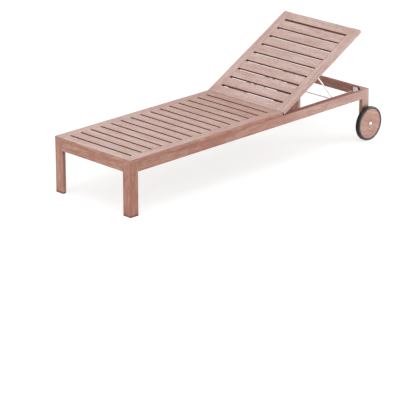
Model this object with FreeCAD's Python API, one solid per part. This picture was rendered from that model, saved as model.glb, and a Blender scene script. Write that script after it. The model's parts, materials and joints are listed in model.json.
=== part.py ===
"""Reclining sun lounger in oiled hardwood.

A slatted bed stands on two foot legs and, at the head end, on two legs that carry wheels.
The backrest is hinged to the seat.  A bent steel prop hangs under it, and the prop's
crossbar drops into the notches of a rack plate on each side of the frame.

Millimetres, +Z up.  x runs from the foot end (0) to the head end, y runs across with 0 on
the centre line, and the floor is z = 0.  Left and right are those of a person lying on
the lounger, so left is -y.  Every part is saved with the origin in the middle of the
footprint of the whole object, on the floor, and with the backrest raised to its rest
angle.
"""
import FreeCAD, Part
import math
import os

# ---- driving dimensions ---------------------------------------------------------------
LENGTH = 2000.0          # wooden frame, foot end to head end
WIDTH = 620.0            # wooden frame, side to side
SEAT_TOP = 336.0         # top of the seat boards above the floor
BOARD = 22.0             # thickness of the boards round seat and backrest
SLAT = 16.0              # thickness of the slats between them
EASE = 1.5               # rounding of the boards' long edges
SLAT_EASE = 2.0          # rounding of the slats' long edges

LEG = 60.0               # side of the square that a leg is cut from
RAIL = 20.0              # thickness of every rail
RAIL_HEIGHT = 56.0
HEAD_LEG_LIFT = 46.0     # head legs stop this far above the floor
LEG_CORNER = 2.5         # rounding of a leg's outer corner
LEG_EASE = 0.8           # rounding of its other corners
BATTEN = 18.0            # thickness of the rack battens
BATTEN_SETBACK = 112.0   # from the ends of the frame to the ends of the battens
CENTRE_RAIL_X = 1130.0

SIDE_BOARD = 60.0        # width of the boards along both sides of seat and backrest
SLAT_GAP = 14.0          # between neighbouring slats
SEAT_SLATS = 16
BACK_SLATS = 10
FOOT_SLAT = 60.0         # the slat at the foot end of the seat
END_SLAT = 62.0          # the slats next to the hinge and at the top of the backrest
TENON_LENGTH = 15.0
TENON_THICKNESS = 8.0
TENON_SHOULDER = 8.0     # wood left beside a tenon on both edges of the slat
CENTRE_TENON = 12.0      # reach of the centre rail into the battens

PIVOT_X = 1233.0         # hinge line of the backrest
PIVOT_DROP = 3.0         # hinge line below the seat top
HINGE_GAP = 3.0          # between seat and backrest when the bed is flat
BACK_CLEARANCE = 0.4     # between the flat backrest and the rails
REST_ANGLE = 28.4        # backrest above the horizontal, degrees

HINGE_Y = (-190.0, 0.0, 190.0)
HINGE_LENGTH = 60.0
LEAF = 1.4               # thickness of a hinge leaf
LEAF_HEIGHT = 17.5
LEAF_SCREW_DROP = 9.75   # hinge line to the leaves' screws
KNUCKLE_R = 2.8
HINGE_PIN_R = 1.5
HINGE_RUNNING = 0.05     # radial clearance of the turning knuckle on its pin
KNUCKLE_AIR = 0.3        # between neighbouring knuckles, and round them in the wood

ROD_R = 4.0              # prop rod and crossbar
PROP_ARM = 374.0         # hinge line to the prop's top bar, along the backrest
PROP_HALF_WIDTH = 245.0  # prop legs either side of the centre line
PROP_BEND_R = 18.0
CLIP = 1.5               # thickness of the strap clips that hold the top bar
CLIP_RUNNING = 0.06
CLIP_WIDTH = 24.0
CLIP_FLANGE = 30.0       # reach of a clip's flange from the top bar towards the hinge
CLIP_FLANGE_Z = 3.0      # thickness of the flange and of the web down to the loop
CLIP_SCREW = 8.0         # screws to the end of the flange
CLIP_SCREW_SPREAD = 6.5
CLIP_Y = 200.0

NOTCHES = 4
NOTCH_PITCH = 79.0
REST_NOTCH_X = 1745.0    # second notch from the head end: the crossbar rests in it
NOTCH_Z = 286.0          # centre of the crossbar when it sits in a notch
SLOT_Z = 297.0           # centre of the crossbar when it slides past the notches
SLOT_R = 5.0
FLAT_SEAT_X = 1872.5     # crossbar position when the backrest lies flat
RAMP_R = 60.0            # rise of the slot out of a notch
PLATE = 2.0              # thickness of the rack plates
PLATE_LENGTH = 326.0
PLATE_HEIGHT = 50.0
SLOT_POCKET = 6.0        # depth of the slot's pocket in the batten
RACK_SCREWS_X = (1598.0, 1723.0, 1861.0)
RACK_SCREW_Z = 281.0
CROSSBAR_AIR = 1.0       # crossbar's ends to the rack plates

BRACKET = 2.5            # corner bracket thickness
BRACKET_HEIGHT = 40.0
BRACKET_BEND = 75.0      # outer corner of the frame to the bend, along a rail
BRACKET_BEND_R = 2.0     # inside radius of the bends
BRACKET_END = 109.0      # outer corner of the frame to the end of the wing
BRACKET_SCREW = 94.0     # outer corner of the frame to the wing's screws
BRACKET_SCREW_RISE = 11.0

SCREW_R = 2.0
SCREW_LENGTH = 15.0
SCREW_TIP = 3.2          # length of the tapered end
SCREW_POINT_R = 0.3
SCREW_HEAD_R = 3.6
SCREW_HEAD = 2.2
RECESS_LENGTH = 4.0      # of the cross in a screw's head
RECESS_WIDTH = 0.9
RECESS_DEPTH = 1.2
PANEL_SCREWS_X = (180.0, 520.0, 860.0, 1190.0)
PANEL_SCREW_BORE_R = 5.0
PANEL_SCREW_BITE = 6.0   # wood of the batten above the head of a panel screw

BOLT_R = 4.0
BOLT_IN_LEG = 34.0
NUT_ACROSS_FLATS = 13.0
NUT_HEIGHT = 6.5
NUT_FACE = 0.9           # bevelled face of a nut, as a share of its width over the corners
BOLT_TAIL = 3.0

WHEEL_X = 1968.0
WHEEL_R = 106.0
DISC_R = 94.0
TYRE_WIDTH = 32.0
TYRE_ROUND = 9.0
TYRE_LIP_ROUND = 1.0     # where the tyre meets the disc
DISC_WIDTH = 26.0
DISC_ROUND = 2.0
WHEEL_GAP = 14.0         # outer face of the leg to the tyre
AXLE_RUNNING = 0.06
AXLE_IN_LEG = 38.0
BUSH_R = 9.0
BUSH_FLANGE_R = 13.0
BUSH_FLANGE = 1.5
BUSH_AIR = 0.3           # bush to the leg and to the axle screw's head
CAP_R = 11.5
CAP_HEIGHT = 7.0

# ---- derived values -------------------------------------------------------------------
V = FreeCAD.Vector
RAIL_TOP = SEAT_TOP - BOARD
RAIL_BOTTOM = RAIL_TOP - RAIL_HEIGHT
RAIL_MID = (RAIL_TOP + RAIL_BOTTOM) / 2
HALF_WIDTH = WIDTH / 2
BATTEN_OUT = HALF_WIDTH - RAIL
BATTEN_IN = BATTEN_OUT - BATTEN
PLATE_IN = BATTEN_IN - PLATE
SLAT_END_Y = HALF_WIDTH - SIDE_BOARD
SEAT_END = PIVOT_X - HINGE_GAP / 2
BACK_START = PIVOT_X + HINGE_GAP / 2
BACK_BOARD = BOARD - BACK_CLEARANCE
BACK_BOTTOM = SEAT_TOP - BACK_BOARD
PIVOT = V(PIVOT_X, 0, SEAT_TOP - PIVOT_DROP)
WHEEL_TOP_X = WHEEL_X + WHEEL_R
ORIGIN = V(WHEEL_TOP_X / 2, 0, 0)
NOTCH_X = [REST_NOTCH_X + NOTCH_PITCH * (1 - k) for k in range(NOTCHES)]
SIDES = {"left": -1, "right": 1}

# the prop's top bar hangs in its clips below the flat backrest
TOP_BAR_Z = BACK_BOTTOM - CLIP - CLIP_RUNNING - ROD_R
TOP_BAR_FLAT = V(PIVOT.x + PROP_ARM, 0, TOP_BAR_Z)


def raised(shape):
    """Turns a shape drawn on the flat backrest up to the rest angle."""
    turned = shape.copy()
    turned.rotate(PIVOT, V(0, -1, 0), REST_ANGLE)
    return turned


def raised_point(point):
    return raised(Part.Vertex(point)).Point


TOP_BAR = raised_point(TOP_BAR_FLAT)
CROSSBAR = V(REST_NOTCH_X, 0, NOTCH_Z)


# ---- building blocks ------------------------------------------------------------------
def box(x0, x1, y0, y1, z0, z1):
    return Part.makeBox(x1 - x0, y1 - y0, z1 - z0, V(x0, y0, z0))


def rod(start, end, radius):
    return Part.makeCylinder(radius, (end - start).Length, start, end - start)


def prism(points, height):
    """Extrudes an outline of points, drawn in one plane, along the vector height."""
    return Part.Face(Part.makePolygon(points + [points[0]])).extrude(height)


def eased(shape, axis, radius=EASE, square_x=math.inf):
    """Rounds the edges that run the whole length of one axis, but none that lie at square_x."""
    span = {"x": shape.BoundBox.XLength, "y": shape.BoundBox.YLength, "z": shape.BoundBox.ZLength}[axis]
    along = {"x": V(1, 0, 0), "y": V(0, 1, 0), "z": V(0, 0, 1)}[axis]
    edges = []
    for edge in shape.Edges:
        start, end = edge.Vertexes[0].Point, edge.Vertexes[-1].Point
        if abs((end - start).dot(along)) > 0.999 * span and abs(start.x - square_x) > 0.01:
            edges.append(edge)
    return shape.makeFillet(radius, edges)


def upright_edges(shape, spots):
    """The vertical edges of a shape that stand on the given points."""
    found = []
    for edge in shape.Edges:
        start, end = edge.Vertexes[0].Point, edge.Vertexes[-1].Point
        if abs(end.z - start.z) > 1:
            if min(math.hypot(start.x - p.x, start.y - p.y) for p in spots) < 0.1:
                found.append(edge)
    return found


def bored(shape, tools):
    """Cuts away every tool that reaches into the shape."""
    for tool in tools:
        if shape.BoundBox.intersect(tool.BoundBox):
            shape = shape.cut(tool)
    return shape


def mirrored(shape, side):
    """A shape drawn for the right side, moved to the side asked for."""
    return shape if side > 0 else shape.mirror(V(0, 0, 0), V(0, 1, 0))


def screw(point, drive):
    """Countersunk wood screw: point is the middle of the head, drive points into the wood."""
    head = Part.makeCone(SCREW_HEAD_R, SCREW_R, SCREW_HEAD, point, drive)
    shank_end = point + drive * (SCREW_LENGTH - SCREW_TIP)
    shank = rod(point, shank_end, SCREW_R)
    tip = Part.makeCone(SCREW_R, SCREW_POINT_R, SCREW_TIP, shank_end, drive)
    return head.fuse([shank, tip]).removeSplitter()


def cross_recess(point, drive):
    """The cross that a driver turns, sunk into a screw's head."""
    blades = []
    for quarter in (0, 90):
        blade = Part.makeBox(RECESS_LENGTH, RECESS_WIDTH, 2 * RECESS_DEPTH,
                             V(-RECESS_LENGTH / 2, -RECESS_WIDTH / 2, -RECESS_DEPTH))
        blade.rotate(V(0, 0, 0), V(0, 0, 1), quarter)
        blades.append(blade)
    cross = blades[0].fuse(blades[1])
    cross.Placement = FreeCAD.Placement(point, FreeCAD.Rotation(V(0, 0, 1), drive))
    return cross


def finished_screws(places):
    return [screw(p, d).cut(cross_recess(p, d)) for p, d in places]


def save(node, shapes):
    """Writes one node: a single solid, or a group of identical separate ones."""
    group = shapes if isinstance(shapes, list) else [shapes]
    solids = []
    for shape in group:
        solids += shape.Solids
    whole = solids[0] if len(solids) == 1 else Part.makeCompound(solids)
    whole.translate(ORIGIN * -1)
    whole.exportStep(os.path.join("parts", node + ".step"))
    print("%-24s solids %2d  volume %9.0f  valid %s" % (node, len(solids), whole.Volume, whole.isValid()))


# ---- screws and bolts: where they go --------------------------------------------------
def corners():
    """Outer corners of the frame with the directions that lead inwards along the rails."""
    for end, x_in in ((0.0, 1), (LENGTH, -1)):
        for side in (-1, 1):
            yield V(end, side * HALF_WIDTH, 0), V(x_in, 0, 0), V(0, -side, 0)


def bracket_screw_places():
    places = []
    for corner, along_x, along_y in corners():
        for rail, across in ((along_x, along_y), (along_y, along_x)):
            for rise in (-BRACKET_SCREW_RISE, BRACKET_SCREW_RISE):
                foot = corner + rail * BRACKET_SCREW + across * (RAIL + BRACKET)
                places.append((foot + V(0, 0, RAIL_MID + rise), across * -1))
    return places


def rack_screw_places():
    return [(V(x, s * PLATE_IN, RACK_SCREW_Z), V(0, s, 0)) for s in (-1, 1) for x in RACK_SCREWS_X]


def panel_screw_places():
    y = BATTEN_OUT - BATTEN / 2
    z = RAIL_TOP - PANEL_SCREW_BITE
    return [(V(x, s * y, z), V(0, 0, 1)) for s in (-1, 1) for x in PANEL_SCREWS_X]


def hinge_screw_places(towards):
    """Screws of the hinge leaves on the seat (towards -1) or on the flat backrest (+1)."""
    face = PIVOT_X + towards * (HINGE_GAP / 2 - LEAF)
    z = PIVOT.z - LEAF_SCREW_DROP
    offset = HINGE_LENGTH / 3
    return [(V(face, y + dy, z), V(towards, 0, 0)) for y in HINGE_Y for dy in (-offset, offset)]


def clip_screw_places():
    x = TOP_BAR_FLAT.x - CLIP_FLANGE + CLIP_SCREW
    z = SEAT_TOP - SLAT - CLIP_FLANGE_Z
    spread = (-CLIP_SCREW_SPREAD, CLIP_SCREW_SPREAD)
    return [(V(x, s * CLIP_Y + dy, z), V(0, 0, 1)) for s in (-1, 1) for dy in spread]


FRAME_SCREWS = (bracket_screw_places() + rack_screw_places() + panel_screw_places()
                + hinge_screw_places(-1))
BACK_SCREWS = hinge_screw_places(1) + clip_screw_places()
FRAME_SCREW_TOOLS = [screw(p, d) for p, d in FRAME_SCREWS]
BACK_SCREW_TOOLS = [screw(p, d) for p, d in BACK_SCREWS]


# ---- legs and frame -------------------------------------------------------------------
def leg_bolts():
    """A stud in the inner face of every leg, through the corner bracket."""
    bolts = []
    face = (LEG + RAIL) / 2
    reach = (BRACKET_BEND + RAIL) / 2 - face
    for corner, along_x, along_y in corners():
        inwards = (along_x + along_y).normalize()
        start = corner + (along_x + along_y) * face + V(0, 0, RAIL_MID)
        out = reach * math.sqrt(2) + BRACKET + NUT_HEIGHT + BOLT_TAIL
        bolts.append(rod(start - inwards * BOLT_IN_LEG, start + inwards * out, BOLT_R))
    return bolts


def leg_nuts():
    nuts = []
    plate = (BRACKET_BEND + RAIL) / 2
    for corner, along_x, along_y in corners():
        inwards = (along_x + along_y).normalize()
        seat = corner + (along_x + along_y) * plate + V(0, 0, RAIL_MID) + inwards * BRACKET
        turn = math.degrees(math.atan2(inwards.y, inwards.x))
        across = NUT_ACROSS_FLATS / math.sqrt(3)
        outline = []
        for k in range(6):
            angle = math.radians(60 * k)
            outline.append(V(0, across * math.sin(angle), across * math.cos(angle)))
        nut = prism(outline, V(NUT_HEIGHT, 0, 0))
        bevel = Part.makeCone(across + NUT_HEIGHT, across * NUT_FACE, NUT_HEIGHT, V(0, 0, 0), V(1, 0, 0))
        nut = nut.common(bevel)
        nut.rotate(V(0, 0, 0), V(0, 0, 1), turn)
        nut.translate(seat)
        nuts.append(nut.cut(rod(seat, seat + inwards * NUT_HEIGHT, BOLT_R)))
    return nuts


def axle_screws():
    """Coach screws that the wheels turn on, with their smooth domed caps."""
    axles = []
    for side in SIDES.values():
        y = HALF_WIDTH
        cap_y = y + WHEEL_GAP + (TYRE_WIDTH + DISC_WIDTH) / 2 + BUSH_FLANGE + BUSH_AIR
        ball_r = (CAP_R ** 2 + CAP_HEIGHT ** 2) / (2 * CAP_HEIGHT)
        tilt = math.asin(CAP_R / ball_r) / 2
        tip = V(WHEEL_X, cap_y + CAP_HEIGHT, WHEEL_R)
        half_way = tip + V(ball_r * math.sin(tilt), ball_r * (math.cos(tilt) - 1), 0)
        rim = V(WHEEL_X + CAP_R, cap_y, WHEEL_R)
        neck = V(WHEEL_X + BOLT_R, cap_y, WHEEL_R)
        end = V(WHEEL_X + BOLT_R, y - AXLE_IN_LEG, WHEEL_R)
        middle = V(WHEEL_X, y - AXLE_IN_LEG, WHEEL_R)
        dome = Part.Arc(tip, half_way, rim).toShape()
        outline = Part.Wire([dome] + Part.makePolygon([rim, neck, end, middle, tip]).Edges)
        turned_screw = Part.Face(outline).revolve(V(WHEEL_X, 0, WHEEL_R), V(0, 1, 0), 360)
        axles.append(mirrored(turned_screw, side))
    return axles


def leg(corner, along_x, along_y, bottom):
    """Square post whose inner corner is cut off at 45 degrees, down to the rails' thickness."""
    steps = ((0, 0), (LEG, 0), (LEG, RAIL), (RAIL, LEG), (0, LEG))
    outline = [corner + along_x * a + along_y * b + V(0, 0, bottom) for a, b in steps]
    post = prism(outline, V(0, 0, RAIL_TOP - bottom))
    post = post.makeFillet(LEG_CORNER, upright_edges(post, outline[:1]))
    return post.makeFillet(LEG_EASE, upright_edges(post, outline[1:]))


def make_legs():
    tools = leg_bolts() + axle_screws()
    for corner, along_x, along_y in corners():
        end = "foot" if corner.x == 0 else "head"
        side = "left" if corner.y < 0 else "right"
        bottom = 0.0 if end == "foot" else HEAD_LEG_LIFT
        save("leg_%s_%s" % (end, side), bored(leg(corner, along_x, along_y, bottom), tools))


def make_rails():
    for name, side in SIDES.items():
        rail = eased(box(LEG, LENGTH - LEG, BATTEN_OUT, HALF_WIDTH, RAIL_BOTTOM, RAIL_TOP), "x")
        save("side_rail_" + name, bored(mirrored(rail, side), FRAME_SCREW_TOOLS))
    half = HALF_WIDTH - LEG
    for name, x0 in (("foot_rail", 0.0), ("head_rail", LENGTH - RAIL)):
        rail = eased(box(x0, x0 + RAIL, -half, half, RAIL_BOTTOM, RAIL_TOP), "y")
        save(name, bored(rail, FRAME_SCREW_TOOLS))


def centre_rail():
    """Cross rail under the seat, tenoned into the battens."""
    x0, x1 = CENTRE_RAIL_X - RAIL / 2, CENTRE_RAIL_X + RAIL / 2
    rail = eased(box(x0, x1, -BATTEN_IN, BATTEN_IN, RAIL_BOTTOM, RAIL_TOP), "y")
    reach = BATTEN_IN + CENTRE_TENON
    tenon = box(CENTRE_RAIL_X - TENON_THICKNESS / 2, CENTRE_RAIL_X + TENON_THICKNESS / 2, -reach, reach,
                RAIL_BOTTOM + TENON_SHOULDER, RAIL_TOP - TENON_SHOULDER)
    return rail.fuse(tenon).removeSplitter(), tenon


def capsule(x0, z0, x1, z1, depth):
    """Solid of the stretch that a slot cutter of radius SLOT_R sweeps, on the right side."""
    start, end = V(x0, PLATE_IN, z0), V(x1, PLATE_IN, z1)
    into = V(0, depth, 0)
    along = (end - start).normalize()
    across = V(along.z, 0, -along.x) * SLOT_R
    middle = prism([start + across, end + across, end - across, start - across], into)
    ends = [Part.makeCylinder(SLOT_R, depth, p, into) for p in (start, end)]
    return middle.fuse(ends)


def ramp(notch_x, depth):
    """Curved stretch of the slot that leads the crossbar up and out of a notch."""
    drop = SLOT_Z - NOTCH_Z
    run = math.sqrt(RAMP_R ** 2 - (RAMP_R - drop) ** 2)
    centre = V(notch_x - run, PLATE_IN, SLOT_Z - RAMP_R)
    into = V(0, depth, 0)
    ring = Part.makeCylinder(RAMP_R + SLOT_R, depth, centre, into)
    ring = ring.cut(Part.makeCylinder(RAMP_R - SLOT_R, depth, centre, into))
    notch = V(notch_x, PLATE_IN, NOTCH_Z)
    wedge = prism([centre, centre + V(0, 0, 2 * RAMP_R), centre + (notch - centre) * 2], into)
    return ring.common(wedge), notch_x - run


def rack_slot(depth):
    """Slot with a long straight end for the flat bed and a chain of notches."""
    pieces = [capsule(FLAT_SEAT_X, SLOT_Z, NOTCH_X[0], SLOT_Z, depth)]
    for k, x in enumerate(NOTCH_X):
        pieces.append(capsule(x, NOTCH_Z, x, SLOT_Z, depth))
        if k + 1 < NOTCHES:
            curve, top_x = ramp(x, depth)
            pieces.append(curve)
            pieces.append(capsule(top_x, SLOT_Z, NOTCH_X[k + 1], SLOT_Z, depth))
    return pieces[0].fuse(pieces[1:]).removeSplitter()


def make_racks(centre_tenon):
    pocket = rack_slot(PLATE + SLOT_POCKET)
    slot = rack_slot(PLATE)
    plates = []
    bores = []
    for point, drive in panel_screw_places():
        bores.append(rod(V(point.x, point.y, RAIL_BOTTOM), point, PANEL_SCREW_BORE_R))
    for name, side in SIDES.items():
        x1 = LENGTH - BATTEN_SETBACK
        batten = eased(box(BATTEN_SETBACK, x1, BATTEN_IN, BATTEN_OUT, RAIL_BOTTOM, RAIL_TOP), "x")
        batten = mirrored(batten.cut(pocket), side)
        save("rack_batten_" + name, bored(batten, FRAME_SCREW_TOOLS + bores + [centre_tenon]))
        plate = box(x1 - PLATE_LENGTH, x1, PLATE_IN, BATTEN_IN, RAIL_TOP - PLATE_HEIGHT, RAIL_TOP)
        plates.append(bored(mirrored(plate.cut(slot), side), FRAME_SCREW_TOOLS))
    save("rack_plates", plates)


def corner_bracket(corner, along_x, along_y):
    """Steel strap that spans the corner at 45 degrees, with a wing on both rails."""
    bend = BRACKET * math.tan(math.radians(45 / 2))
    inner, outer = RAIL, RAIL + BRACKET
    steps = [(BRACKET_END, inner), (BRACKET_BEND, inner), (inner, BRACKET_BEND), (inner, BRACKET_END),
             (outer, BRACKET_END), (outer, BRACKET_BEND + bend), (BRACKET_BEND + bend, outer),
             (BRACKET_END, outer)]
    base = V(0, 0, RAIL_MID - BRACKET_HEIGHT / 2)
    outline = [corner + along_x * a + along_y * b + base for a, b in steps]
    strap = prism(outline, V(0, 0, BRACKET_HEIGHT))
    strap = strap.makeFillet(BRACKET_BEND_R + BRACKET, upright_edges(strap, outline[1:3]))
    return strap.makeFillet(BRACKET_BEND_R, upright_edges(strap, outline[5:7]))


def make_hardware():
    tools = FRAME_SCREW_TOOLS + leg_bolts()
    save("corner_brackets", [bored(corner_bracket(*c), tools) for c in corners()])
    save("leg_bolts", leg_bolts())
    save("leg_nuts", leg_nuts())
    save("frame_screws", finished_screws(FRAME_SCREWS))


# ---- slatted panels -------------------------------------------------------------------
def slat_spans(start, widths):
    """Start and end of every slat along the panel, with the same gap between them."""
    spans = []
    for width in widths:
        spans.append((start, start + width))
        start += width + SLAT_GAP
    return spans


def slat(x0, x1, z0, z1, square_x):
    """Cross slat with a stub tenon at both ends.  Returns the slat and its tenons' solid."""
    plank = eased(box(x0, x1, -SLAT_END_Y, SLAT_END_Y, z0, z1), "y", SLAT_EASE, square_x)
    reach = SLAT_END_Y + TENON_LENGTH
    mid = (z0 + z1) / 2
    tenon = box(x0 + TENON_SHOULDER, x1 - TENON_SHOULDER, -reach, reach,
                mid - TENON_THICKNESS / 2, mid + TENON_THICKNESS / 2)
    return plank.fuse(tenon).removeSplitter(), tenon


def panel(x0, x1, z0, z1, first, last, count, hinge_x):
    """Slats and both side boards of a panel, drawn flat.

    The end slats are as thick as the boards, and the one at the hinge is sawn square there.
    """
    middle = (x1 - x0 - first - last - SLAT_GAP * (count - 1)) / (count - 2)
    spans = slat_spans(x0, [first] + [middle] * (count - 2) + [last])
    slats = []
    tenons = []
    for k, (a, b) in enumerate(spans):
        at_end = k in (0, count - 1)
        plank, tenon = slat(a, b, z0 if at_end else z1 - SLAT, z1, hinge_x)
        slats.append(plank)
        tenons.append(tenon)
    boards = {}
    for name, side in SIDES.items():
        board = eased(box(x0, x1, SLAT_END_Y, HALF_WIDTH, z0, z1), "x")
        boards[name] = bored(mirrored(board, side), tenons)
    return slats, boards


def hinge_recesses():
    """Room for the hinge knuckles in the facing edges of seat and backrest."""
    radius = KNUCKLE_R + KNUCKLE_AIR
    half = HINGE_LENGTH / 2 + KNUCKLE_AIR
    return [rod(V(PIVOT_X, y - half, PIVOT.z), V(PIVOT_X, y + half, PIVOT.z), radius) for y in HINGE_Y]


def make_seat():
    slats, boards = panel(0.0, SEAT_END, RAIL_TOP, SEAT_TOP, FOOT_SLAT, END_SLAT, SEAT_SLATS, SEAT_END)
    tools = FRAME_SCREW_TOOLS + hinge_recesses()
    for k, plank in enumerate(slats):
        save("seat_slat_%02d" % (k + 1), bored(plank, tools))
    for name, board in boards.items():
        save("seat_side_board_" + name, bored(board, tools))


def make_back():
    slats, boards = panel(BACK_START, LENGTH, BACK_BOTTOM, SEAT_TOP, END_SLAT, END_SLAT, BACK_SLATS,
                          BACK_START)
    tools = BACK_SCREW_TOOLS + hinge_recesses()
    for k, plank in enumerate(slats):
        save("back_slat_%02d" % (k + 1), raised(bored(plank, tools)))
    for name, board in boards.items():
        save("back_side_board_" + name, raised(bored(board, tools)))
    save("back_screws", [raised(s) for s in finished_screws(BACK_SCREWS)])


# ---- hinges ---------------------------------------------------------------------------
def hinge_leaf(y, towards):
    """Leaf on the seat (towards -1, two outer knuckles) or the backrest (+1, middle one)."""
    half = HINGE_LENGTH / 2
    third = HINGE_LENGTH / 3
    own = [(-half, -third / 2), (third / 2, half)] if towards < 0 else [(-third / 2, third / 2)]
    foreign = [(-third / 2, third / 2)] if towards < 0 else [(-half, -third / 2), (third / 2, half)]
    face = PIVOT_X + towards * HINGE_GAP / 2
    x0, x1 = sorted((face, face - towards * LEAF))
    leaf = box(x0, x1, y - half, y + half, PIVOT.z - LEAF_HEIGHT, PIVOT.z)
    for a, b in own:
        leaf = leaf.fuse(rod(V(PIVOT_X, y + a, PIVOT.z), V(PIVOT_X, y + b, PIVOT.z), KNUCKLE_R))
    for a, b in foreign:
        start = V(PIVOT_X, y + a - KNUCKLE_AIR, PIVOT.z)
        end = V(PIVOT_X, y + b + KNUCKLE_AIR, PIVOT.z)
        leaf = leaf.cut(rod(start, end, KNUCKLE_R + KNUCKLE_AIR))
    running = 0.0 if towards < 0 else HINGE_RUNNING
    bore = rod(V(PIVOT_X, y - half, PIVOT.z), V(PIVOT_X, y + half, PIVOT.z), HINGE_PIN_R + running)
    return leaf.cut(bore).removeSplitter()


def make_hinges():
    half = HINGE_LENGTH / 2
    seat = [bored(hinge_leaf(y, -1), FRAME_SCREW_TOOLS) for y in HINGE_Y]
    back = [raised(bored(hinge_leaf(y, 1), BACK_SCREW_TOOLS)) for y in HINGE_Y]
    save("hinge_seat_leaves", seat)
    save("hinge_back_leaves", back)
    save("hinge_pins", [rod(V(PIVOT_X, y - half, PIVOT.z), V(PIVOT_X, y + half, PIVOT.z), HINGE_PIN_R)
                        for y in HINGE_Y])


# ---- prop -----------------------------------------------------------------------------
def prop_rod(crossbar):
    """Rod bent into a U: two legs that stand on the crossbar and a top bar between them."""
    up = (TOP_BAR - CROSSBAR).normalize()
    side = V(0, PROP_HALF_WIDTH, 0)
    inset = V(0, PROP_BEND_R, 0)
    mid_y = V(0, PROP_BEND_R * (1 - math.sqrt(0.5)), 0)
    mid_up = up * PROP_BEND_R * math.sqrt(0.5)
    low = TOP_BAR - up * PROP_BEND_R
    edges = [
        Part.LineSegment(CROSSBAR - side, low - side).toShape(),
        Part.Arc(low - side, low - side + mid_y + mid_up, TOP_BAR - side + inset).toShape(),
        Part.LineSegment(TOP_BAR - side + inset, TOP_BAR + side - inset).toShape(),
        Part.Arc(TOP_BAR + side - inset, low + side - mid_y + mid_up, low + side).toShape(),
        Part.LineSegment(low + side, CROSSBAR + side).toShape(),
    ]
    profile = Part.Wire(Part.makeCircle(ROD_R, CROSSBAR - side, up))
    bent = Part.Wire(edges).makePipeShell([profile], True, False)
    return bent.cut(crossbar)


def prop_clip(y):
    """Strap that loops round the top bar, rises to a slat of the backrest and is screwed under it."""
    half = V(0, CLIP_WIDTH / 2, 0)
    centre = TOP_BAR_FLAT + V(0, y, 0)
    loop_r = ROD_R + CLIP_RUNNING
    loop = rod(centre - half, centre + half, loop_r + CLIP)
    top = SEAT_TOP - SLAT
    y0, y1 = y - CLIP_WIDTH / 2, y + CLIP_WIDTH / 2
    web_x = centre.x - loop_r - CLIP
    web = box(web_x, web_x + CLIP_FLANGE_Z, y0, y1, centre.z, top)
    flange = box(centre.x - CLIP_FLANGE, web_x + CLIP_FLANGE_Z, y0, y1, top - CLIP_FLANGE_Z, top)
    bore = rod(centre - half, centre + half, loop_r)
    return loop.fuse([web, flange]).cut(bore).removeSplitter()


def make_prop():
    reach = V(0, PLATE_IN - CROSSBAR_AIR, 0)
    crossbar = rod(CROSSBAR - reach, CROSSBAR + reach, ROD_R)
    save("prop_crossbar", crossbar)
    save("prop_rod", prop_rod(crossbar))
    save("prop_clips", [raised(bored(prop_clip(s * CLIP_Y), BACK_SCREW_TOOLS)) for s in (-1, 1)])


# ---- wheels ---------------------------------------------------------------------------
def turned(profile):
    """Solid of revolution about the right-hand axle; profile is (radius, y) points."""
    outline = [V(WHEEL_X + r, y, WHEEL_R) for r, y in profile]
    face = Part.Face(Part.makePolygon(outline + [outline[0]]))
    return face.revolve(V(WHEEL_X, 0, WHEEL_R), V(0, 1, 0), 360)


def circles_rounded(shape, at_radius, radius):
    """Rounds the circular edges of a turned shape that have the given radius."""
    edges = [e for e in shape.Edges if hasattr(e.Curve, "Radius") and abs(e.Curve.Radius - at_radius) < 0.01]
    return shape.makeFillet(radius, edges)


def make_wheels():
    inner = HALF_WIDTH + WHEEL_GAP
    outer = inner + TYRE_WIDTH
    disc_in = inner + (TYRE_WIDTH - DISC_WIDTH) / 2
    disc_out = disc_in + DISC_WIDTH
    tyre = turned([(DISC_R, inner), (WHEEL_R, inner), (WHEEL_R, outer), (DISC_R, outer)])
    tyre = circles_rounded(tyre, WHEEL_R, TYRE_ROUND)
    tyre = circles_rounded(tyre, DISC_R, TYRE_LIP_ROUND)
    disc = turned([(BUSH_R, disc_in), (DISC_R, disc_in), (DISC_R, disc_out), (BUSH_R, disc_out)])
    disc = circles_rounded(disc, DISC_R, DISC_ROUND)
    bore_r = BOLT_R + AXLE_RUNNING
    bush = turned([(bore_r, HALF_WIDTH + BUSH_AIR), (BUSH_R, HALF_WIDTH + BUSH_AIR), (BUSH_R, disc_out),
                   (BUSH_FLANGE_R, disc_out), (BUSH_FLANGE_R, disc_out + BUSH_FLANGE),
                   (bore_r, disc_out + BUSH_FLANGE)])
    for name, side in SIDES.items():
        save("wheel_disc_" + name, mirrored(disc, side))
        save("tyre_" + name, mirrored(tyre, side))
        save("wheel_bush_" + name, mirrored(bush, side))
    save("axle_screws", axle_screws())


# ---- the whole lounger ----------------------------------------------------------------
os.makedirs("parts", exist_ok=True)
make_legs()
make_rails()
cross_rail, cross_tenon = centre_rail()
save("centre_rail", cross_rail)
make_racks(cross_tenon)
make_hardware()
make_seat()
make_back()
make_hinges()
make_prop()
make_wheels()

print("pivot", PIVOT - ORIGIN, "top bar", TOP_BAR - ORIGIN, "crossbar", CROSSBAR - ORIGIN)
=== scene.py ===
"""Looks of the reclining sun lounger: oiled hardwood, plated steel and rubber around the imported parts."""
import json
import math

import bmesh
import bpy
from mathutils import Matrix, Vector


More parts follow.
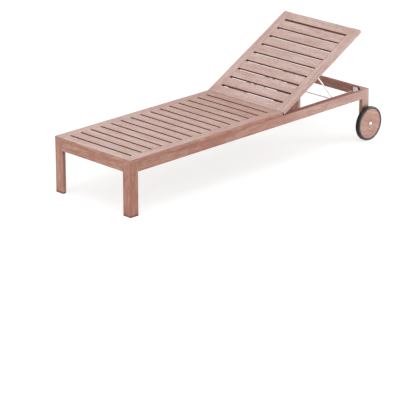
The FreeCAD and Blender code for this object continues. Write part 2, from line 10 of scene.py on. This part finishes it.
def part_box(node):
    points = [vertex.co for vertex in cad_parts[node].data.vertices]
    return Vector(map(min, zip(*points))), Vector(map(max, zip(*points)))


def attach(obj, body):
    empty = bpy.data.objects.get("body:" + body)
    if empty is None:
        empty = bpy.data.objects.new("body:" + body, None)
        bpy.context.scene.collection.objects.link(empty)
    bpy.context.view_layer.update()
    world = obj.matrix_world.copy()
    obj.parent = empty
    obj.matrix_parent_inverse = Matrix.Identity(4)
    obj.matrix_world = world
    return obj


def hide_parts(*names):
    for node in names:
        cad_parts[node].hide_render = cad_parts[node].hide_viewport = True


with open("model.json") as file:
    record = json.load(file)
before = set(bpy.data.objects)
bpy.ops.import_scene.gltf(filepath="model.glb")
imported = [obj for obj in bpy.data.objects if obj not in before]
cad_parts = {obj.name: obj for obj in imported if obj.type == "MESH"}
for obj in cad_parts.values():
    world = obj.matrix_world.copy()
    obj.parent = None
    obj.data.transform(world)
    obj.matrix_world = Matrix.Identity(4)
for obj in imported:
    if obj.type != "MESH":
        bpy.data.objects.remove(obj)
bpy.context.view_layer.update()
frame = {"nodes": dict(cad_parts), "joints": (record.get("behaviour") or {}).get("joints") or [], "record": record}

# ---- camera ---------------------------------------------------------------------------
VIEW_AZIMUTH = -45.10        # degrees; 0 looks along +Y
VIEW_ELEVATION = 20.02
VIEW_DISTANCE = 13.371       # metres
VIEW_LENS = 203.5            # millimetres
SENSOR = 36.0
VIEW_CENTRE = (-0.037, 0.040, 0.150)
VIEW_SHIFT = (-0.0743, -0.367)   # sideways and upwards from VIEW_CENTRE, across the view

# ---- wood tones, linear ---------------------------------------------------------------
BEIGE = (0.440, 0.270, 0.200)
PINK = (0.410, 0.195, 0.150)
RUST = (0.255, 0.085, 0.052)
# painted shade on the tops of the rails and battens
SHADED_TOP_COLOUR = (0.262, 0.064, 0.032)
TAN = (0.500, 0.370, 0.255)
UMBER = (0.085, 0.026, 0.016)
# painted shade for crevices, joints and gaps
CREVICE_SHADE_COLOUR = (0.088, 0.018, 0.009)
END_GRAIN = (0.340, 0.170, 0.110)
SILVER = (0.600, 0.500, 0.475)    # weathered, with the colour washed out; also the colour of the painted sheen
RUBBED = (0.620, 0.470, 0.410)    # arrises where the oil has worn off

# ---- wood structure, metres -----------------------------------------------------------
RING_PITCH = 0.016
PITH_SWAY = 0.10             # how far the pith wanders
PITH_DEPTH = 0.055           # mean depth of the pith below the middle of a board
PITH_SPREAD = 0.035          # how much its place differs from board to board
RIPPLE_PITCH = 0.0085
EDGE_WEAR = 0.0022
CREVICE = 0.022              # reach of the painted shade in joints and gaps
CREVICE_SHADE_COVER = 0.94            # share of the wood's colour hidden under painted shade where a crevice is deepest
BUMP_DEPTH = 0.0004
GOLDEN_ANGLE = 2.399963      # radians; turning by it keeps neighbouring boards unlike each other

# figures of the wood: noise repeats per metre along and across the grain, and the noise
# values between which the figure grows from nothing to full
STREAKS = {"along": 3, "across": 75, "low": 0.36, "high": 0.66, "detail": 5, "roughness": 0.65}
FLECKS = {"along": 26, "across": 150, "low": 0.45, "high": 0.68, "detail": 4, "roughness": 0.6,
          "offset": (2, 9, 4)}
PORES = {"along": 55, "across": 1300, "low": 0.63, "high": 0.72, "detail": 1}
BROAD = {"along": 3, "across": 14, "low": 0.32, "high": 0.68}
BLUSH = {"along": 5, "across": 24, "low": 0.46, "high": 0.70, "detail": 4, "roughness": 0.6,
         "distortion": 0.8, "offset": (7, 3, 5)}
PALE = {"along": 9, "across": 42, "low": 0.50, "high": 0.72, "detail": 4, "roughness": 0.62,
        "distortion": 0.5, "offset": (5, 8, 1)}
TANNED = {"along": 11, "across": 36, "low": 0.50, "high": 0.68, "detail": 4, "roughness": 0.6,
          "offset": (3, 1, 9)}
BROKEN = {"along": 20, "across": 20, "low": 0.35, "high": 0.65, "offset": (1, 6, 2)}
PATCHY = {"along": 5, "across": 25, "low": 0.25, "high": 0.75, "detail": 3, "least": 0.6}

# ---- tyre, metres ---------------------------------------------------------------------
SHOULDER_R = 0.009
SHOULDER_LINE = 0.0005       # height of the line round the shoulder
BEAD_R = 0.0011
BEAD_DEPTH = 0.0014          # face of the tyre to the middle of its bead
BORE_DEPTH = 0.0040          # face of the tyre to the first ring of the bore
GROOVE_PLACE = 0.34          # of the width, from either face
GROOVE_WIDTH = 0.0016
GROOVE_DEPTH = 0.0012
TYRE_FACETS = 128

# ---- metal surface --------------------------------------------------------------------
STEEL_EDGE = 0.0006          # metres
SCRATCH_DEPTH = 0.00004      # metres
DULL = 0.78                  # duller patches, as a share of the clean colour

# ---- rubber and plastic, linear colours -----------------------------------------------
GRIT_DEPTH = 0.0001          # metres
BLACK = (0.010, 0.011, 0.012)
DUSTY = (0.060, 0.060, 0.055)
SCUFFED = (0.070, 0.070, 0.068)
# painted highlight round the tyre's shoulder
SHOULDER_HIGHLIGHT = (0.120, 0.125, 0.115)
# painted reflection of the wooden disc on the tyre's bead
DISC_REFLECTION = (0.200, 0.140, 0.115)
BUSH_GREYS = (0.30, 0.31, 0.32), (0.40, 0.41, 0.42)

# ---- welds on the prop, in radii of its rod -------------------------------------------
WELD_ROOT = (0.92, 0.80)     # radius and height of the lower edge, hidden in the rod
WELD_BULGE = 0.42            # beyond the rod, where the weld is fullest
WELD_START = 0.85            # middle of the crossbar to where the weld is fullest
WELD_RISE = 0.75             # from there to its upper end
WELD_FACETS = 40

# ---- studio ---------------------------------------------------------------------------
WORLD_STRENGTH = 1.0
FLOOR_GLOW = 1.29
FLOOR_CLEAN = 0.53           # share of the floor's own shade that the lit table hides
FLOOR_HALF = 45.0            # metres
FLOOR_GREYS = (0.78, 0.78, 0.78), (0.80, 0.80, 0.80)
LIGHT_AIM = (0.0, 0.0, 0.2)
LIGHTS = (                   # name, place, size in metres, power in watts, colour
    ("key", (-1.5, -1.0, 4.5), 3.0, 60.0, (1.0, 0.99, 0.97)),
    ("fill", (-4.5, 0.4, 1.2), 1.6, 28.0, (1.0, 1.0, 1.0)),
    ("side", (3.3, -2.4, 0.7), 1.2, 55.0, (1.0, 1.0, 1.0)),
)


def joint(name):
    return next(j for j in frame["joints"] if j["name"] == name)


HINGE = joint("backrest_hinge")
PIVOT = Vector(HINGE["pos_m"])
REST_ANGLE = math.radians(-HINGE["range_deg"][0])
HALF_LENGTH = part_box("leg_head_left")[1].x


# ---- node helpers ---------------------------------------------------------------------
class Graph:
    """Short hand for building a node tree: every call adds one node and returns its output."""

    def __init__(self, tree):
        self.tree = tree

    def node(self, kind, inputs=None, **settings):
        made = self.tree.nodes.new(kind)
        for key, value in settings.items():
            setattr(made, key, value)
        for key, value in (inputs or {}).items():
            self.plug(value, made.inputs[key])
        return made

    def plug(self, value, socket):
        if isinstance(value, bpy.types.NodeSocket):
            self.tree.links.new(value, socket)
        else:
            socket.default_value = value

    def math(self, operation, a, b=0.0, clamp=False):
        made = self.node("ShaderNodeMath", {0: a, 1: b}, operation=operation, use_clamp=clamp)
        return made.outputs[0]

    def vector(self, operation, a, b=(0, 0, 0)):
        made = self.node("ShaderNodeVectorMath", {0: a, 1: b}, operation=operation)
        return made.outputs["Value"] if operation in ("LENGTH", "DOT_PRODUCT") else made.outputs[0]

    def noise(self, vector, scale=1.0, detail=2.0, roughness=0.5, distortion=0.0):
        made = self.node("ShaderNodeTexNoise", {"Vector": vector, "Scale": scale, "Detail": detail,
                                                "Roughness": roughness, "Distortion": distortion})
        return made.outputs["Fac"]

    def ramp(self, value, low, high, to_low=0.0, to_high=1.0):
        made = self.node("ShaderNodeMapRange", {"Value": value, "From Min": low, "From Max": high,
                                                "To Min": to_low, "To Max": to_high})
        made.interpolation_type = "SMOOTHSTEP"
        return made.outputs[0]

    def mix(self, factor, a, b):
        made = self.node("ShaderNodeMix", data_type="RGBA")
        sockets = [s for s in made.inputs if s.enabled]
        for socket, value in zip(sockets, (factor, self.colour(a), self.colour(b))):
            self.plug(value, socket)
        return [s for s in made.outputs if s.enabled][0]

    def colour(self, value):
        return (*value, 1.0) if isinstance(value, tuple) and len(value) == 3 else value

    def split(self, vector):
        return self.node("ShaderNodeSeparateXYZ", {0: vector}).outputs


def new_material(name):
    material = bpy.data.materials.new(name)
    material.use_nodes = True
    material.node_tree.nodes.clear()
    graph = Graph(material.node_tree)
    shader = graph.node("ShaderNodeBsdfPrincipled")
    graph.node("ShaderNodeOutputMaterial", {"Surface": shader.outputs[0]})
    return material, graph, shader


# ---- wood -----------------------------------------------------------------------------
def wood_group():
    """Solid oiled hardwood.  Takes a point of the board in metres, with the grain along x.

    Ripple is the strength of the figure across the grain.  After it come four inputs of weathering
    and painted light: the first pales the top towards silver, part weathering and part painted sheen;
    the second paints the other faces paler, a painted sheen; the third paints the top dark, a painted
    shade; and the fourth paints shade into crevices, joints and gaps.  Wear says where a rubbed arris is.
    """
    group = bpy.data.node_groups.new("hardwood", "ShaderNodeTree")
    for name in ("Point", "Normal", "Pith"):
        group.interface.new_socket(name, in_out="INPUT", socket_type="NodeSocketVector")
    for name in ("Tone", "Ripple", "BleachAndSheen", "Age", "TopShade", "CreviceShade", "Wear"):
        group.interface.new_socket(name, in_out="INPUT", socket_type="NodeSocketFloat")
    for name, kind in (("Color", "Color"), ("Roughness", "Float"), ("Height", "Float")):
        group.interface.new_socket(name, in_out="OUTPUT", socket_type="NodeSocket" + kind)
    g = Graph(group)
    given = g.node("NodeGroupInput").outputs
    point = given["Point"]

    def stretched(along, across, offset=(0, 0, 0)):
        return g.vector("MULTIPLY", g.vector("ADD", point, offset), (along, across, across))

    def figure(along, across, low, high, offset=(0, 0, 0), least=0.0, **noise):
        return g.ramp(g.noise(stretched(along, across, offset), **noise), low, high, least, 1.0)

    def layer(colour, mask, share, tone):
        return g.mix(g.math("MULTIPLY", mask, share), colour, tone)

    # growth rings round a pith that wanders beside the board
    sway = g.node("ShaderNodeTexNoise", {"Vector": stretched(1.6, 5), "Scale": 1.0, "Detail": 2.0})
    sway = g.vector("SUBTRACT", sway.outputs["Color"], (0.5, 0.5, 0.5))
    sway = g.vector("MULTIPLY", sway, (0, PITH_SWAY, PITH_SWAY))
    around = g.vector("ADD", g.vector("SUBTRACT", point, given["Pith"]), sway)
    around = g.vector("MULTIPLY", around, (0, 1, 1))
    turns = g.math("DIVIDE", g.vector("LENGTH", around), RING_PITCH)
    turns = g.math("ADD", turns, g.noise(stretched(6, 40), detail=3))
    rings = g.ramp(g.math("PINGPONG", turns, 1.0), 0.25, 1.0)

    # streaks, flecks, fibres and pores run along the grain
    streaks = figure(**STREAKS)
    flecks = figure(**FLECKS)
    pores = figure(**PORES)
    fibres = g.noise(stretched(22, 800), detail=3, roughness=0.6)

    heartwood = g.math("ADD", g.math("MULTIPLY", figure(**BROAD), 0.7), given["Tone"], clamp=True)
    colour = g.mix(heartwood, BEIGE, PINK)
    for mask, share, tone in ((figure(**BLUSH), 0.60, RUST), (rings, 0.34, RUST), (streaks, 0.46, RUST),
                              (flecks, 0.50, RUST), (figure(**PALE), 0.20, SILVER)):
        colour = layer(colour, mask, share, tone)

    # ripple figure across the grain
    along = g.split(point)[0]
    drift = g.noise(stretched(9, 30), detail=2)
    phase = g.math("MULTIPLY", along, 2 * math.pi / RIPPLE_PITCH)
    waves = g.math("SINE", g.math("ADD", phase, g.math("MULTIPLY", drift, 9.0)))
    waves = g.ramp(waves, -1, 1)
    ripple = g.math("MULTIPLY", waves, g.math("MULTIPLY", figure(**BROKEN), given["Ripple"]))
    colour = g.mix(ripple, colour, RUST)

    # weathering and painted sheen (paler tops, and side faces painted paler), which the raised grain outlasts
    up = g.ramp(g.split(given["Normal"])[2], 0.3, 0.95)
    sides = g.math("MULTIPLY", g.math("SUBTRACT", 1.0, up), given["Age"])
    fade_and_sheen = g.math("ADD", g.math("MULTIPLY", up, given["BleachAndSheen"]), g.math("MAXIMUM", sides, 0.0))
    fade_and_sheen = g.math("MULTIPLY", fade_and_sheen, figure(**PATCHY))
    colour = g.mix(fade_and_sheen, colour, SILVER)
    colour = layer(colour, figure(**TANNED), 0.32, TAN)
    raised = g.math("ADD", g.math("MULTIPLY", streaks, 0.15), g.math("MULTIPLY", flecks, 0.26))
    colour = g.mix(raised, colour, RUST)
    # painted shade: the top painted dark where the boards and the backrest shade it
    colour = layer(colour, up, given["TopShade"], SHADED_TOP_COLOUR)
    end = g.ramp(g.math("ABSOLUTE", g.split(given["Normal"])[0]), 0.7, 0.95)
    for mask, share, tone in ((end, 0.60, END_GRAIN), (fibres, 0.18, RUST), (pores, 0.50, UMBER),
                              (given["Wear"], 0.75, RUBBED)):
        colour = layer(colour, mask, share, tone)
    # painted shade in crevices, joints and gaps
    colour = g.mix(given["CreviceShade"], colour, CREVICE_SHADE_COLOUR)

    rough = g.math("ADD", g.math("MULTIPLY", fibres, 0.16), g.math("MULTIPLY", fade_and_sheen, 0.12))
    rough = g.math("ADD", rough, g.math("MULTIPLY", streaks, 0.05))
    rough = g.math("ADD", rough, 0.38)
    height = g.math("SUBTRACT", g.math("MULTIPLY", fibres, 0.6), g.math("MULTIPLY", pores, 0.7))
    height = g.math("SUBTRACT", height, g.math("MULTIPLY", rings, 0.25))
    g.node("NodeGroupOutput", {"Color": colour, "Roughness": rough, "Height": height})
    return group


WOOD = wood_group()


def board_material(name, number, turn, centre, ripple=0.0, bleach_and_sheen=(0.0, 0.0), side_sheen=(0.0, 0.0), top_shade=0.0):
    """Wood of one board.  turn brings the grain to x and the board's top to z.

    The top's paleness (part weathering, part painted sheen) and the painted sheen of the other
    faces are given for the foot end and the head end of a board as long as the frame.  A side sheen
    below 0 at one end keeps it off until part of the way along.  The last argument paints the top
    dark, as painted shade.
    """
    material, g, shader = new_material("wood_" + name)
    coords = g.node("ShaderNodeTexCoord").outputs
    seed = Vector((3.1 * number, 1.7 * number, 0.0))
    lying = {"Vector": coords["Object"], "Location": -(turn @ centre), "Rotation": turn.to_euler()}
    place = g.node("ShaderNodeMapping", lying).outputs[0]
    shifted = g.vector("ADD", place, seed)
    along = g.split(place)[0]
    bleach_and_sheen_amount, side_sheen_amount = (g.ramp(along, -HALF_LENGTH, HALF_LENGTH, *ends) for ends in (bleach_and_sheen, side_sheen))
    turned = {"Vector": coords["Normal"], "Rotation": turn.to_euler()}
    facing = g.node("ShaderNodeMapping", turned).outputs[0]

    rounded = g.node("ShaderNodeBevel", {"Radius": EDGE_WEAR}, samples=4).outputs[0]
    true_normal = g.node("ShaderNodeNewGeometry").outputs["Normal"]
    edge = g.math("SUBTRACT", 1.0, g.vector("DOT_PRODUCT", rounded, true_normal))
    edge = g.ramp(edge, 0.02, 0.25)
    patches = g.noise(g.vector("MULTIPLY", shifted, (14, 60, 60)))
    patches = g.ramp(patches, 0.35, 0.60, 0.0, 1.0 - 0.8 * top_shade)
    # painted shade: ambient occlusion darkens the wood where other parts hem it in, and dulls its sheen there
    open_air = g.node("ShaderNodeAmbientOcclusion", {"Distance": CREVICE}, samples=6).outputs["AO"]
    crevice_shade = g.ramp(open_air, 0.50, 0.90, CREVICE_SHADE_COVER, 0.0)

    angle = GOLDEN_ANGLE * number
    pith = Vector((0.0, PITH_SPREAD * math.cos(angle), -PITH_DEPTH - PITH_SPREAD * math.sin(1.7 * angle)))
    wood = g.node("ShaderNodeGroup", {
        "Point": shifted, "Normal": facing, "Pith": seed + pith, "Tone": 0.28 * math.sin(3.3 * angle) + 0.12,
        "Ripple": ripple, "BleachAndSheen": bleach_and_sheen_amount, "Age": side_sheen_amount, "TopShade": top_shade, "CreviceShade": crevice_shade,
        "Wear": g.math("MULTIPLY", edge, patches)}, node_tree=WOOD)
    g.plug(wood.outputs["Color"], shader.inputs["Base Color"])
    g.plug(wood.outputs["Roughness"], shader.inputs["Roughness"])
    bump = g.node("ShaderNodeBump", {"Height": wood.outputs["Height"], "Distance": BUMP_DEPTH,
                                     "Strength": 0.6, "Normal": rounded})
    g.plug(bump.outputs[0], shader.inputs["Normal"])
    g.plug(g.ramp(crevice_shade, 0.0, CREVICE_SHADE_COVER, 0.45, 0.05), shader.inputs["Specular IOR Level"])
    return material


def middle(node):
    low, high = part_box(node)
    return (low + high) / 2


ALONG_X = Matrix.Identity(3)
ALONG_Y = Matrix.Rotation(-math.pi / 2, 3, "Z")
ALONG_Z = Matrix.Rotation(math.pi / 2, 3, "Y")
LIE_DOWN = Matrix.Rotation(REST_ANGLE, 3, "Y")     # turns the raised backrest flat


def grain_of(node):
    """How the grain of a wooden part is turned to x, and how weathering and painted light change it.

    The seat's tops are painted darker towards the hinge, as painted shade from the backrest, and
    the sides of the frame are painted paler towards the head, as a painted sheen.
    """
    if node.startswith("back_side_board"):
        # painted sheen: the side faces painted paler towards the head
        return ALONG_X @ LIE_DOWN, {"bleach_and_sheen": (0.74, 0.74), "side_sheen": (0.25, 0.55)}
    if node.startswith("back_slat"):
        return ALONG_Y @ LIE_DOWN, {"bleach_and_sheen": (0.80, 0.80), "ripple": 0.16}
    if node.startswith("seat_slat"):
        # painted shade: the seat's tops are painted less pale towards the hinge, where the backrest shades them
        towards_hinge = (middle(node).x + HALF_LENGTH) / (PIVOT.x + HALF_LENGTH)
        bleach_and_sheen = 0.78 - 0.48 * towards_hinge ** 2
        return ALONG_Y, {"bleach_and_sheen": (bleach_and_sheen, bleach_and_sheen), "ripple": 0.26}
    if node.startswith("seat_side_board"):
        # painted shade: the side board's top is painted less pale towards the head, under the backrest
        return ALONG_X, {"bleach_and_sheen": (0.78, 0.40), "ripple": 0.16}
    if node.startswith("leg_head"):
        # painted sheen: the head legs' sides painted paler
        return ALONG_Z, {"side_sheen": (0.46, 0.46)}
    if node.startswith("leg_foot"):
        return ALONG_Z, {"ripple": 0.26}
    # painted shade: the rails' tops painted darker under the boards
    if node in ("foot_rail", "head_rail", "centre_rail"):
        return ALONG_Y, {"top_shade": 0.4}
    # painted shade: the tops painted dark; painted sheen: the sides painted paler towards the head
    return ALONG_X, {"top_shade": 0.95, "ripple": 0.38, "side_sheen": (-0.40, 0.46)}


def paint(node, material):
    node.data.materials.clear()
    node.data.materials.append(material)


def paint_wood():
    subparts = frame["record"]["subparts"]
    wooden = [s["node"] for s in subparts if s["material_slot"] in ("board_wood", "frame_wood")]
    for number, name in enumerate(wooden):
        turn, weather = grain_of(name)
        paint(frame["nodes"][name], board_material(name, number + 1, turn, middle(name), **weather))


def paint_wheel_discs():
    """The discs are cut from a board, and their grain lies at a different angle on each side."""
    for number, side in enumerate(("left", "right")):
        name = "wheel_disc_" + side
        face_up = Matrix.Rotation(-math.pi / 2, 3, "X")
        turn = Matrix.Rotation(math.radians(20 + 40 * number), 3, "Z") @ face_up
        # the faces are paled, part weathering and part painted sheen
        wood = board_material(name, 71 + 5 * number, turn, middle(name), bleach_and_sheen=(0.24, 0.24))
        paint(frame["nodes"][name], wood)


# ---- metal, rubber and plastic --------------------------------------------------------
def plated_material(name, colour, roughness, spangle, metallic=1.0):
    """Zinc plated or stainless steel: crystal spangle, fine scratches, duller patches."""
    material, g, shader = new_material(name)
    point = g.node("ShaderNodeTexCoord").outputs["Object"]
    cells = g.node("ShaderNodeTexVoronoi", {"Vector": point, "Scale": 160.0}).outputs["Color"]
    crystal = g.split(cells)[0]
    patch = g.noise(point, scale=28, detail=3)
    scratch = g.noise(g.vector("MULTIPLY", point, (60, 60, 1900)), detail=2)
    darker = tuple(DULL * c for c in colour)
    shade = g.math("ADD", g.math("MULTIPLY", crystal, spangle), g.math("MULTIPLY", patch, 0.25))
    g.plug(g.mix(shade, colour, darker), shader.inputs["Base Color"])
    shader.inputs["Metallic"].default_value = metallic
    varied = g.math("ADD", g.math("MULTIPLY", patch, 0.16), g.math("MULTIPLY", crystal, 0.5 * spangle))
    g.plug(g.math("ADD", varied, roughness), shader.inputs["Roughness"])
    rounded = g.node("ShaderNodeBevel", {"Radius": STEEL_EDGE}, samples=4).outputs[0]
    bump = g.node("ShaderNodeBump", {"Height": scratch, "Distance": SCRATCH_DEPTH, "Strength": 0.5,
                                     "Normal": rounded})
    g.plug(bump.outputs[0], shader.inputs["Normal"])
    return material


def rubber_material():
    """Dusty, scuffed black rubber, with a painted highlight round the shoulder and a painted reflection of the
    wooden disc at the bead.
    """
    material, g, shader = new_material("tyre_rubber")
    point = g.node("ShaderNodeTexCoord").outputs["Object"]
    hub = middle("wheel_disc_left")
    radius = g.vector("LENGTH", g.vector("MULTIPLY", g.vector("SUBTRACT", point, hub), (1, 0, 1)))
    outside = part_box("tyre_left")[1].z / 2
    bead = hub.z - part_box("wheel_disc_left")[0].z
    dust = g.ramp(g.noise(point, scale=24, detail=5, roughness=0.6), 0.42, 0.72)
    scuff = g.ramp(g.noise(g.vector("MULTIPLY", point, (90, 700, 90)), detail=3), 0.55, 0.75)
    grit = g.noise(point, scale=900, detail=2)
    rubber = g.mix(g.math("MULTIPLY", dust, 0.40), BLACK, DUSTY)
    rubber = g.mix(g.math("MULTIPLY", scuff, 0.35), rubber, SCUFFED)
    # painted highlight: a pale ring round the shoulder
    from_ring = g.math("SUBTRACT", radius, outside - 0.45 * SHOULDER_R)
    from_ring = g.math("ABSOLUTE", g.math("DIVIDE", from_ring, 0.35 * SHOULDER_R))
    shoulder = g.math("SUBTRACT", 1.0, from_ring, clamp=True)
    rubber = g.mix(g.math("MULTIPLY", shoulder, g.ramp(dust, 0.0, 1.0, 0.35, 0.9)), rubber, SHOULDER_HIGHLIGHT)
    # painted reflection of the wooden disc, on the tyre next to it
    disc_reflection = g.ramp(radius, bead, bead + 3 * BEAD_R, 0.6, 0.0)
    g.plug(g.mix(disc_reflection, rubber, DISC_REFLECTION), shader.inputs["Base Color"])
    g.plug(g.ramp(dust, 0.0, 1.0, 0.38, 0.62), shader.inputs["Roughness"])
    bump = g.node("ShaderNodeBump", {"Height": grit, "Distance": GRIT_DEPTH, "Strength": 0.5})
    g.plug(bump.outputs[0], shader.inputs["Normal"])
    shader.inputs["Specular IOR Level"].default_value = 0.35
    return material


def plastic_material():
    material, g, shader = new_material("bush_plastic")
    point = g.node("ShaderNodeTexCoord").outputs["Object"]
    mottle = g.noise(point, scale=300, detail=3)
    g.plug(g.mix(mottle, *BUSH_GREYS), shader.inputs["Base Color"])
    g.plug(g.ramp(mottle, 0.2, 0.8, 0.4, 0.55), shader.inputs["Roughness"])
    return material


def paint_hardware():
    by_slot = {                            # metals: colour, roughness, spangle, metallic
        "plated_steel": plated_material("plated_steel", (0.93, 0.94, 0.95), 0.42, 0.20, 0.45),
        "prop_steel": plated_material("prop_steel", (0.95, 0.95, 0.96), 0.34, 0.08, 0.40),
        "stainless_steel": plated_material("stainless_steel", (0.70, 0.70, 0.71), 0.22, 0.05),
        "cap_steel": plated_material("cap_steel", (0.95, 0.95, 0.95), 0.10, 0.02),
        "tyre_rubber": rubber_material(),
        "bush_plastic": plastic_material(),
    }
    for subpart in frame["record"]["subparts"]:
        if subpart["material_slot"] in by_slot:
            paint(frame["nodes"][subpart["node"]], by_slot[subpart["material_slot"]])
    return by_slot


# ---- turned pieces --------------------------------------------------------------------
def revolve(name, section, origin, axis, around, body, material):
    """Closed ring: section is (radius, height) points, turned about an axis through origin."""
    side = axis.orthogonal().normalized()
    other = axis.cross(side)
    shape = bmesh.new()
    rings = []
    for k in range(around):
        angle = 2 * math.pi * k / around
        out = side * math.cos(angle) + other * math.sin(angle)
        rings.append([shape.verts.new(origin + out * r + axis * h) for r, h in section])
    for ring, following in zip(rings, rings[1:] + rings[:1]):
        for k in range(len(section)):
            after = (k + 1) % len(section)
            shape.faces.new((ring[k], following[k], following[after], ring[after]))
    bmesh.ops.recalc_face_normals(shape, faces=shape.faces)
    mesh = bpy.data.meshes.new(name)
    shape.to_mesh(mesh)
    shape.free()
    mesh.shade_smooth()
    mesh.set_sharp_from_angle(angle=math.radians(50))
    mesh.materials.append(material)
    piece = bpy.data.objects.new(name, mesh)
    bpy.context.scene.collection.objects.link(piece)
    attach(piece, body)
    return piece


def tyre_section(radius, bore, width):
    """Rounded solid tyre with a bead at the disc, a line on the shoulder and two tread grooves."""
    half = [(bore, BORE_DEPTH), (bore, BEAD_DEPTH)]
    for k in range(7):                            # bead
        angle = math.radians(180 - 30 * k)
        half.append((bore + BEAD_R * (1 + math.cos(angle)), BEAD_DEPTH - BEAD_R * math.sin(angle)))
    for k in range(1, 12):                        # wall and shoulder, with a raised line half way
        angle = math.radians(8 * k)
        lift = SHOULDER_LINE if k in (5, 6) else 0.0
        reach = SHOULDER_R + lift
        half.append((radius - SHOULDER_R + reach * math.sin(angle), SHOULDER_R - reach * math.cos(angle)))
    for spot, depth in ((-0.8, 0.0), (-0.5, 1.0), (0.5, 1.0), (0.8, 0.0)):    # groove with sloping sides
        half.append((radius - GROOVE_DEPTH * depth, GROOVE_PLACE * width + spot * GROOVE_WIDTH))
    return half + [(r, width - depth) for r, depth in reversed(half)]


def make_tyres(rubber):
    for side in ("left", "right"):
        node = "tyre_" + side
        low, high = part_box(node)
        disc_low, disc_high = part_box("wheel_disc_" + side)
        origin = Vector(((low.x + high.x) / 2, low.y, (low.z + high.z) / 2))
        section = tyre_section((high.z - low.z) / 2, (disc_high.z - disc_low.z) / 2, high.y - low.y)
        piece = revolve("tyre_tread_" + side, section, origin, Vector((0, 1, 0)), TYRE_FACETS,
                        "wheel_" + side, rubber)
        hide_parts(node)


def make_weld_beads(steel):
    """Collars of weld where the two legs of the prop stand on the crossbar."""
    low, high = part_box("prop_crossbar")
    rod = (high.z - low.z) / 2
    foot = (low + high) / 2
    up = (Vector(joint("prop_pivot")["pos_m"]) - foot).normalized()
    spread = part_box("prop_rod")[1].y - rod
    section = [(WELD_ROOT[0] * rod, WELD_ROOT[1] * rod)]
    for k in range(7):
        angle = math.radians(15 * k)
        out = rod * (1.0 + WELD_BULGE * math.cos(angle))
        section.append((out, rod * (WELD_START + WELD_RISE * math.sin(angle))))
    for side, y in (("left", -spread), ("right", spread)):
        origin = Vector((foot.x, y, foot.z))
        revolve("weld_bead_" + side, section, origin, up, WELD_FACETS, "prop", steel)


# ---- stage ----------------------------------------------------------------------------
def make_camera():
    azimuth = math.radians(VIEW_AZIMUTH)
    elevation = math.radians(VIEW_ELEVATION)
    back = Vector((math.sin(azimuth) * math.cos(elevation), -math.cos(azimuth) * math.cos(elevation),
                   math.sin(elevation)))
    right = Vector((math.cos(azimuth), math.sin(azimuth), 0.0))
    up = back.cross(right)
    data = bpy.data.cameras.new("camera")
    data.lens = VIEW_LENS
    data.sensor_width = SENSOR
    data.clip_end = 200.0
    camera = bpy.data.objects.new("camera", data)
    spot = Vector(VIEW_CENTRE) + right * VIEW_SHIFT[0] + up * VIEW_SHIFT[1] + back * VIEW_DISTANCE
    camera.matrix_world = Matrix.Translation(spot) @ Matrix((right, up, back)).transposed().to_4x4()
    bpy.context.scene.collection.objects.link(camera)
    bpy.context.scene.camera = camera


def area_light(name, spot, size, power, colour):
    data = bpy.data.lights.new(name, "AREA")
    data.shape = "DISK"
    data.size = size
    data.energy = power
    data.color = colour
    light = bpy.data.objects.new(name, data)
    light.location = spot
    light.rotation_euler = (Vector(LIGHT_AIM) - Vector(spot)).to_track_quat("-Z", "Y").to_euler()
    bpy.context.scene.collection.objects.link(light)


def make_stage():
    mesh = bpy.data.meshes.new("floor")
    corners = [(x * FLOOR_HALF, y * FLOOR_HALF, 0) for x, y in ((-1, -1), (1, -1), (1, 1), (-1, 1))]
    mesh.from_pydata(corners, [], [(0, 1, 2, 3)])
    floor = bpy.data.objects.new("floor", mesh)
    bpy.context.scene.collection.objects.link(floor)
    material, g, shader = new_material("floor_white")
    point = g.node("ShaderNodeTexCoord").outputs["Object"]
    tint = g.noise(point, scale=0.7, detail=1)
    g.plug(g.mix(tint, *FLOOR_GREYS), shader.inputs["Base Color"])
    shader.inputs["Roughness"].default_value = 0.9
    shader.inputs["Specular IOR Level"].default_value = 0.0
    # seen directly, the floor is a lit table: its shadows are faint, as in a product picture
    table = g.node("ShaderNodeEmission", {"Color": (1.0, 1.0, 1.0, 1.0), "Strength": FLOOR_GLOW})
    direct = g.node("ShaderNodeLightPath").outputs["Is Camera Ray"]
    seen = g.node("ShaderNodeMixShader", {0: g.math("MULTIPLY", direct, FLOOR_CLEAN), 1: shader.outputs[0],
                                          2: table.outputs[0]})
    output = next(n for n in material.node_tree.nodes if n.type == "OUTPUT_MATERIAL")
    g.plug(seen.outputs[0], output.inputs["Surface"])
    mesh.materials.append(material)

    world = bpy.data.worlds.new("studio")
    world.use_nodes = True
    background = world.node_tree.nodes["Background"]
    background.inputs["Color"].default_value = (1.0, 1.0, 1.0, 1.0)
    background.inputs["Strength"].default_value = WORLD_STRENGTH
    bpy.context.scene.world = world
    for light in LIGHTS:
        area_light(*light)
    bpy.context.scene.view_settings.view_transform = "Standard"


paint_wood()
paint_wheel_discs()
finishes = paint_hardware()
make_tyres(finishes["tyre_rubber"])
make_weld_beads(finishes["prop_steel"])
make_camera()
make_stage()
